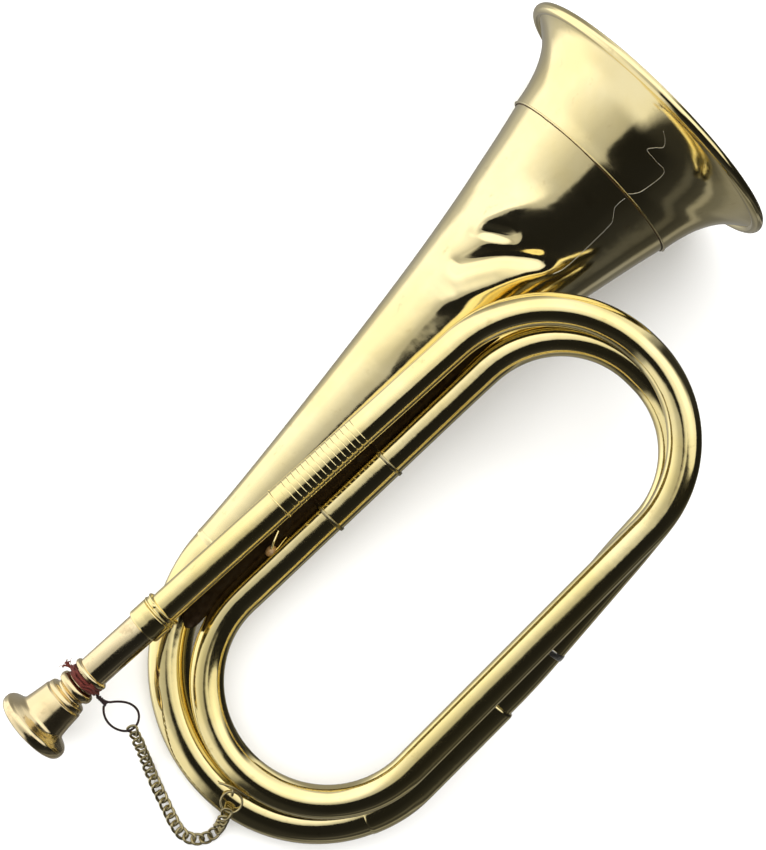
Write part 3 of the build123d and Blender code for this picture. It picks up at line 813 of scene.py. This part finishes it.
# ================================================================ twine: turns, tuft, knot and loop
def on_lead(x, radius, angle):
    """A spot round the leadpipe's axis, at a distance from the mouthpiece's rim."""
    return LEAD @ Vector((x, radius * math.cos(angle), radius * math.sin(angle)))


def turns(name, x0, x1, radius, count, start, thick, wobble):
    """Turns of twine wound round the shank."""
    line = []
    steps = int(count * 40)
    for i in range(steps + 1):
        t = i / steps
        a = start + 2 * math.pi * count * t
        slack = wobble * noise.noise(Vector((math.cos(a) * 2, math.sin(a) * 2, 7 * t + start)))
        line.append(on_lead(x0 + (x1 - x0) * t + slack, radius + abs(slack) * 0.5, a))
    return sweep(name, line, thick, 10)


wraps = [
    turns("twine_turns_inner", 21.6, 24.2, 5.2, 3.6, 0.4, 0.40, 0.25),
    turns("twine_turns_outer", 24.3, 21.7, 5.75, 2.6, 2.0, 0.40, 1.2),
    turns("twine_turns_cross", 21.5, 24.5, 6.1, 1.3, 3.6, 0.38, 1.8),
]
for number, piece in enumerate(wraps):
    finish_piece(piece, "twine_tie", RED.material, "red_twine", *(("twine_wrap",) if number == 0 else ()))
tuft_at = on_lead(22.4, 6.0, 0.1)
for k in range(12):
    thick = 0.34 if k < 5 else 0.10
    spread = 0.45 if k < 5 else 1.0
    way = lead_y + (lead * rng.uniform(-0.7, 0.5) + lead_z * rng.uniform(-0.5, 0.7)) * spread
    long = rng.uniform(1.8, 3.4) if k < 5 else rng.uniform(2.0, 4.2)
    bend = lead * rng.uniform(-1.4, 1.4) + lead_z * rng.uniform(-0.8, 0.8)
    strand = smooth_points([
        tuft_at - way * 0.8, tuft_at + way * long * 0.4 + bend * 0.3,
        tuft_at + way * long * 0.75 + bend * 0.9, tuft_at + way * long * 0.7 + bend * 1.5], 12)
    piece = sweep(f"twine_tuft_{k:02d}", strand, [thick * (1 - 0.03 * i) for i in range(12)], 8)
    finish_piece(piece, "twine_tie", RED.material, "red_twine")

# The loop's points repeat the route of the solid, in metres.
LOOP = [
    (-0.1243, 0.0210, 0.0227),
    (-0.1242, 0.0171, 0.0209),
    (-0.1207, 0.0144, 0.0200),
    (-0.1182, 0.0108, 0.0188),
    (-0.1181, 0.0069, 0.0174),
    (-0.1207, 0.0042, 0.0158),
    (-0.1239, 0.0037, 0.0144),
    (-0.1264, 0.0054, 0.0142),
    (-0.1280, 0.0090, 0.0154),
    (-0.1279, 0.0126, 0.0174),
    (-0.1264, 0.0156, 0.0194),
    (-0.1251, 0.0166, 0.0203),
]
curve = bpy.data.curves.new("twine_loop_cord", "CURVE")
curve.dimensions = "3D"
spline = curve.splines.new("NURBS")
spline.points.add(len(LOOP) - 1)
for point, place in zip(spline.points, LOOP):
    point.co = (*place, 1.0)
spline.order_u = 3
spline.use_endpoint_u = True
spline.resolution_u = 12
curve.bevel_depth = 0.0004
curve.bevel_resolution = 5
loop = bpy.data.objects.new("twine_loop_cord", curve)
bpy.context.collection.objects.link(loop)
curve.materials.append(DARK.material)
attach(loop, "twine_tie")
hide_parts("twine_loop")
knot_path = smooth_points([
    (-124.3, 20.6, 22.5), (-124.25, 19.0, 21.8), (-124.2, 17.6, 21.1), (-124.1, 16.4, 20.5)], 90)
knot_line = []
for i, spot in enumerate(knot_path):
    t = i / (len(knot_path) - 1)
    a = 2 * math.pi * 5.5 * t
    reach = 0.48 + 0.25 * math.exp(-((t - 0.93) / 0.08) ** 2)
    knot_line.append(spot + Vector((math.cos(a), 0.35 * math.sin(a), 0.93 * math.sin(a))) * reach)
knot = sweep("twine_knot_turns", knot_line, 0.36, 8, to_table=TABLE_MM)
finish_piece(knot, "twine_tie", DARK.material, "dark_twine", "twine_knot")

# ================================================================ the chain
ROUTE = [
    (-121.05, -37.9, 16.4), (-123.6, -39.0, 14.4), (-125.3, -40.1, 11.0), (-126.0, -40.9, 7.0),
    (-127.0, -41.5, 3.4), (-129.6, -41.8, 1.6), (-132.6, -40.7, 1.5), (-135.2, -38.2, 1.5),
    (-136.5, -34.6, 1.5), (-136.0, -30.4, 1.5), (-134.6, -26.0, 1.5), (-132.6, -20.2, 1.5),
    (-130.6, -14.6, 2.2), (-129.0, -10.4, 4.2), (-127.3, -6.0, 7.4), (-125.5, -1.0, 11.2),
    (-123.9, 3.7, 14.4),
]
chain_points = smooth_points(ROUTE, 800)
chain_along = [0.0]
for a, b in zip(chain_points, chain_points[1:]):
    chain_along.append(chain_along[-1] + (b - a).length)


def chain_at(s):
    """Point and direction on the chain's line at a distance from the ring."""
    for i in range(1, len(chain_along)):
        if chain_along[i] >= s:
            break
    t = (s - chain_along[i - 1]) / (chain_along[i] - chain_along[i - 1])
    a, b = chain_points[i - 1], chain_points[i]
    j, k = max(0, i - 8), min(len(chain_points) - 1, i + 8)
    return a + (b - a) * t, (chain_points[k] - chain_points[j]).normalized()


LINK_COUNT, DROP_END, BEND_END, RUN_END = 26, 7, 12, 19
OFFSET, LAST_OFFSET = 0.75, 0.3
PITCH = (chain_along[-1] - OFFSET - LAST_OFFSET) / (LINK_COUNT - 1)
LINK_HALF_LENGTH, LINK_HALF_WIDTH = 2.0, 1.66      # to the middle of the wire
LINK_WIRE_R = 0.48
LINK_TWIST = 0.55
RING_WIRE_R = 0.42
ON_BOW = 6                    # links that lie on the bow
RISING = 18                   # the first link that turns up toward the twine
bow_centre = Vector((-115.0, -38.0, 8.3))
for first, last, group in ((0, DROP_END, "chain_drop"), (DROP_END, BEND_END, "chain_bend"),
                           (BEND_END, RUN_END, "chain_run"), (RUN_END, LINK_COUNT, "chain_lift")):
    for number in range(first, last):
        centre, along = chain_at(OFFSET + number * PITCH)
        face = Vector((0, 0, 1))
        if number < ON_BOW:
            face = Vector((centre.x - bow_centre.x, 0, centre.z - bow_centre.z + 3)).normalized()
        if number >= RISING:
            face = (face + Vector((-0.25, 0, 0)) * (number - RISING + 1) * 0.35).normalized()
        face = (face - along * face.dot(along)).normalized()
        face.rotate(Matrix.Rotation(rng.uniform(-0.22, 0.22), 3, along))
        side = face.cross(along)
        loop_line = []
        for k in range(40):
            a = 2 * math.pi * k / 40
            c, s = math.cos(a), math.sin(a)
            x = LINK_HALF_LENGTH * math.copysign(abs(c) ** 0.86, c)
            y = LINK_HALF_WIDTH * math.copysign(abs(s) ** 0.90, s)
            loop_line.append(centre + along * x + side * y + face * (LINK_TWIST * math.sin(2 * a)))
        piece = sweep(f"chain_link_{number:02d}", loop_line, LINK_WIRE_R, 12, closed=True, to_table=TABLE_MM)
        recalc(piece)
        nodes = (group,) if number == first else ()
        finish_piece(piece, group, CHAIN.material, "chain_brass", *nodes)


def round_ring(name, centre, axis, radius, body, node):
    """A ring of wire."""
    axis = Vector(axis).normalized()
    side = axis.orthogonal().normalized()
    up = axis.cross(side)
    line = circle_points(Vector(centre), side, up, radius, 64, 0.8)
    piece = sweep(name, line, RING_WIRE_R, 14, closed=True, to_table=TABLE_MM)
    recalc(piece)
    finish_piece(piece, body, CHAIN.material, "chain_brass", node)


round_ring("chain_jump_ring", (-117.7, -36.6, 16.8), (-0.104, -0.092, 1.0), 3.6, "chain_ring", "chain_ring")
round_ring("chain_wire_eye", (-115.0, -34.2, 17.3), (-0.664, 0.747, 0.0), 1.4, "root", "chain_eye")
wire_line = smooth_points([
    (-254.9, -66.4, 8.6), (-255.3, -63.6, 9.7), (-255.9, -60.4, 10.3), (-257.0, -57.9, 10.0),
    (-258.4, -55.6, 9.4)], 24)
eye_wire = sweep("chain_eye_wire", wire_line, RING_WIRE_R, 12)
finish_piece(eye_wire, "root", CHAIN.material, "chain_brass", "eye_wire")

# ================================================================ pieces kept from the solids
for node, material in (("leadpipe_stay", TUBE), ("bell_solder", SOLDER), ("lower_solder", DARK_SOLDER_AND_SHADE),
                       ("solder_blob", SOLDER), ("brace_wire", TUBE)):
    kept = frame["nodes"][node]
    kept.data.materials.clear()
    kept.data.materials.append(material.material)

# ================================================================ floor and light
floor_mesh = bpy.data.meshes.new("floor")
FLOOR_REACH = 3.0
floor_corners = [(FLOOR_REACH * x, FLOOR_REACH * y, 0) for x, y in ((-1, -1), (1, -1), (1, 1), (-1, 1))]
floor_mesh.from_pydata(floor_corners, [], [(0, 1, 2, 3)])
floor = bpy.data.objects.new("floor", floor_mesh)
bpy.context.collection.objects.link(floor)
floor.location = (0, 0, -0.0002)
pale = Nodes("pale_floor")
pale.bsdf.inputs["Roughness"].default_value = 0.9
grain = pale.noise(6, 2, 0.4)
tone = pale.ramp(grain, "Fac", [(0.3, (0.90, 0.90, 0.89)), (0.7, (0.93, 0.93, 0.925))])
pale.link(tone, "Color", pale.bsdf, "Base Color")
floor_mesh.materials.append(pale.material)
floor.visible_glossy = False

world = bpy.data.worlds.new("studio")
bpy.context.scene.world = world
world.use_nodes = True
sky = world.node_tree
sky.nodes.clear()


def sky_node(kind, **settings):
    node = sky.nodes.new(kind)
    for key, value in settings.items():
        setattr(node, key, value)
    return node


def sky_part(way):
    """How far a direction leans toward a way given in the bell's frame."""
    node = sky_node("ShaderNodeVectorMath", operation="DOT_PRODUCT")
    node.inputs[1].default_value = (LAY.to_3x3().normalized() @ Vector(way)).normalized()
    sky.links.new(sky_coords.outputs["Generated"], node.inputs[0])
    return node


def sky_span(source, low, high, to_low, to_high):
    node = sky_node("ShaderNodeMapRange", interpolation_type="SMOOTHSTEP")
    node.inputs["From Min"].default_value = low
    node.inputs["From Max"].default_value = high
    node.inputs["To Min"].default_value = to_low
    node.inputs["To Max"].default_value = to_high
    sky.links.new(source, node.inputs["Value"])
    return node


def sky_sum(a, b, operation="ADD"):
    node = sky_node("ShaderNodeMath", operation=operation)
    sky.links.new(a, node.inputs[0])
    sky.links.new(b, node.inputs[1])
    return node


def sky_ramp(source, stops):
    """A brightness read from stops of (position, value), faintly warm."""
    node = sky_node("ShaderNodeValToRGB")
    while len(node.color_ramp.elements) < len(stops):
        node.color_ramp.elements.new(0.5)
    for element, (at, value) in zip(node.color_ramp.elements, stops):
        element.position = at
        element.color = (value, value * 0.985, value * 0.95, 1)
    sky.links.new(source, node.inputs["Fac"])
    return node


sky_coords = sky_node("ShaderNodeTexCoord")
toward_light = sky_part((0, 1, 0))
toward_mouth = sky_part((1, 0, 0))
toward_eye = sky_part((0, 0, 1))
# The room round the bugle's length, in degrees from straight above toward the light: dark on one side,
# one wide soft light on the other, its near edge a little further over past the bell's narrow end.
angle = sky_sum(toward_light.outputs["Value"], toward_eye.outputs["Value"], "ARCTAN2")
edge = sky_span(toward_mouth.outputs["Value"], -0.28, -0.10, math.radians(6), math.radians(-16))
mouth_edge = sky_span(toward_mouth.outputs["Value"], 0.02, 0.50, 0.0, math.radians(-58))
whole_edge = sky_sum(edge.outputs["Result"], mouth_edge.outputs["Result"])
past_edge = sky_sum(angle.outputs["Value"], whole_edge.outputs["Value"], "SUBTRACT")
turn_part = sky_node("ShaderNodeMapRange")
turn_part.inputs["From Min"].default_value = -math.pi
turn_part.inputs["From Max"].default_value = math.pi
sky.links.new(past_edge.outputs["Value"], turn_part.inputs["Value"])
room = sky_ramp(turn_part.outputs["Result"], [(0.5 + at / 360, value) for at, value in (
    (-180, 0.16), (-160, 0.26), (-148, 0.24), (-138, 0.16), (-127, 0.14), (-122, 0.30), (-117, 0.30),
    (-112, 0.06), (-98, 0.04), (-92, 0.09), (-87, 0.09), (-80, 0.03), (-50, 0.015), (-1.5, 0.012),
    (1.5, 0.50), (22, 0.62), (42, 0.88), (62, 1.12), (82, 1.34), (132, 1.34), (137, 1.05), (142, 0.66),
    (150, 0.56), (160, 0.40), (180, 0.30))])
overhead = sky_ramp(turn_part.outputs["Result"], [(0.5 + at / 360, value) for at, value in (
    (-2, 0.0), (2, 1.0), (45, 0.9), (90, 0.0))])
overhead_part = sky_span(toward_mouth.outputs["Value"], -0.22, 0.02, 0.0, 0.5)
overhead_light = sky_node("ShaderNodeMix", data_type="RGBA", blend_type="MIX")
overhead_light.inputs[6].default_value = (0, 0, 0, 1)
sky.links.new(overhead.outputs["Color"], overhead_light.inputs[7])
sky.links.new(overhead_part.outputs["Result"], overhead_light.inputs[0])
whole_sky = sky_node("ShaderNodeMix", data_type="RGBA", blend_type="ADD")
whole_sky.inputs[0].default_value = 1.0
sky.links.new(room.outputs["Color"], whole_sky.inputs[6])
sky.links.new(overhead_light.outputs[2], whole_sky.inputs[7])
# Straight along the bugle the room is even, lit on the light's side.
ends_part = sky_node("ShaderNodeMath", operation="ABSOLUTE")
sky.links.new(toward_mouth.outputs["Value"], ends_part.inputs[0])
ends_mix = sky_span(ends_part.outputs["Value"], 0.66, 0.92, 0.0, 1.0)
ends = sky_ramp(sky_span(toward_light.outputs["Value"], -0.14, 0.06, 0.0, 1.0).outputs["Result"],
                [(0.0, 0.03), (1.0, 0.95)])
all_round = sky_node("ShaderNodeMix", data_type="RGBA", blend_type="MIX")
sky.links.new(ends_mix.outputs["Result"], all_round.inputs[0])
sky.links.new(whole_sky.outputs[2], all_round.inputs[6])
sky.links.new(ends.outputs["Color"], all_round.inputs[7])
sky_light = sky_node("ShaderNodeBackground")
sky_out = sky_node("ShaderNodeOutputWorld")
sky.links.new(all_round.outputs[2], sky_light.inputs["Color"])
sky.links.new(sky_light.outputs["Background"], sky_out.inputs["Surface"])


def softbox(name, way, distance, size, power):
    """A flat lamp aimed at the bugle from a direction in the bell's frame."""
    data = bpy.data.lights.new(name, "AREA")
    data.shape = "RECTANGLE"
    data.size, data.size_y = size
    data.energy = power
    lamp = bpy.data.objects.new(name, data)
    bpy.context.collection.objects.link(lamp)
    lamp.visible_glossy = False
    direction = (LAY.to_3x3().normalized() @ Vector(way)).normalized()
    lamp.location = Vector((0, 0, 0.03)) + direction * distance
    lamp.rotation_mode = "QUATERNION"
    lamp.rotation_quaternion = direction.to_track_quat("Z", "Y")


softbox("overhead", (0.05, 0.2, 0.98), 1.3, (1.8, 1.8), 30)

bpy.context.scene.view_settings.view_transform = "Standard"
